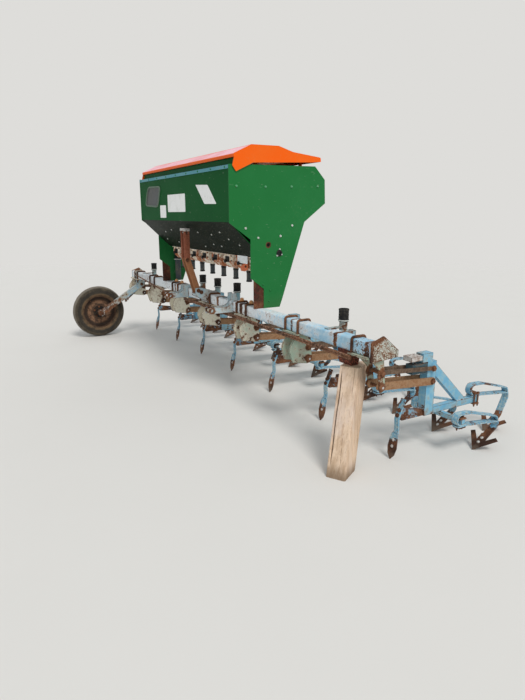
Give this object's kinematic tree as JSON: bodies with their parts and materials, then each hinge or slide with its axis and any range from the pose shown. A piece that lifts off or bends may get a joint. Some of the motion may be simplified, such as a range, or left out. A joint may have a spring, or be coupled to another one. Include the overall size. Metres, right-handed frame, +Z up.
{
  "type": "row crop cultivator with fertiliser hopper",
  "caption": "Mounted row crop cultivator: square toolbar with hoeing gangs, gauge wheel and hinged-lid fertiliser hopper.",
  "frame": {"origin": "middle of the footprint box on the ground, 237 mm behind the toolbar centreline", "axes": "+X along the toolbar to its end on the post, +Y rearwards away from the tractor, +Z up"},
  "size_m": [4.79, 2.0547, 1.894],
  "materials": {
    "toolbar_paint": "sky-blue paint, chalky and flaking over rust",
    "pale_paint": "cream and pale blue paint flaking over rust",
    "gang_paint": "faded light blue paint",
    "rust": "brown rust",
    "green_paint": "satin green paint",
    "dark_green_paint": "dark green paint",
    "orange_paint": "orange paint, bleached pink on the front slope",
    "teal_paint": "teal edge strip",
    "bright_steel": "bare weathered steel",
    "meter_plastic": "weathered cream plastic",
    "black_plastic": "black plastic",
    "tube_plastic": "grey plastic tube",
    "tyre_rubber": "weathered grey-black rubber",
    "rim_paint": "rusted rim",
    "post_wood": "dry split wood"
  },
  "bodies": {
    "frame": {"toolbar": "toolbar_paint", "toolbar_end_plates": "pale_paint", "u_bolts": "rust", "gang_brackets": "pale_paint", "lower_arms": "rust", "upper_arms": "rust", "pivot_bolts": "rust", "hitch_lugs": "pale_paint", "mast_flats": "rust", "mast_cap": "bright_steel", "mast_foot": "pale_paint", "stay_rods": "rust", "hopper_near_side": "green_paint", "hopper_far_side": "green_paint", "hopper_trough": "dark_green_paint", "hopper_rim": "teal_paint", "leg_brackets": "rust", "lid_hinges": "green_paint", "meter_boxes": "meter_plastic", "meter_shutters": "black_plastic", "meter_shaft": "rust", "drop_tubes": "tube_plastic", "tube_boots": "black_plastic", "tube_holders": "gang_paint", "wheel_axle": "rust", "wheel_arm": "toolbar_paint", "wooden_post": "post_wood", "post_saddle": "gang_paint", "gang_1_frame": "gang_paint", "gang_1_tines": "gang_paint", "gang_2_frame": "gang_paint", "gang_2_tines": "gang_paint", "gang_3_frame": "gang_paint", "gang_3_tines": "gang_paint", "gang_4_frame": "gang_paint", "gang_4_tines": "gang_paint", "gang_5_frame": "gang_paint", "gang_5_tines": "gang_paint", "gang_6_frame": "gang_paint", "gang_6_tines": "gang_paint", "gang_7_frame": "gang_paint", "gang_7_tines": "gang_paint"},
    "lid": {"hopper_lid": "orange_paint"},
    "gauge_wheel": {"wheel_tyre": "tyre_rubber", "wheel_rim": "rim_paint", "wheel_hub": "rust"}
  },
  "joints": [
    {"name": "lid_hinge", "type": "hinge", "parent": "frame", "child": "lid", "pos_m": [-0.027, 0.24575, 1.774], "axis": [-1, 0, 0], "range_deg": [0, 95]},
    {"name": "wheel_spin", "type": "hinge", "parent": "frame", "child": "gauge_wheel", "pos_m": [-2.15, -0.72725, 0.3], "axis": [1, 0, 0], "continuous": true}
  ]
}
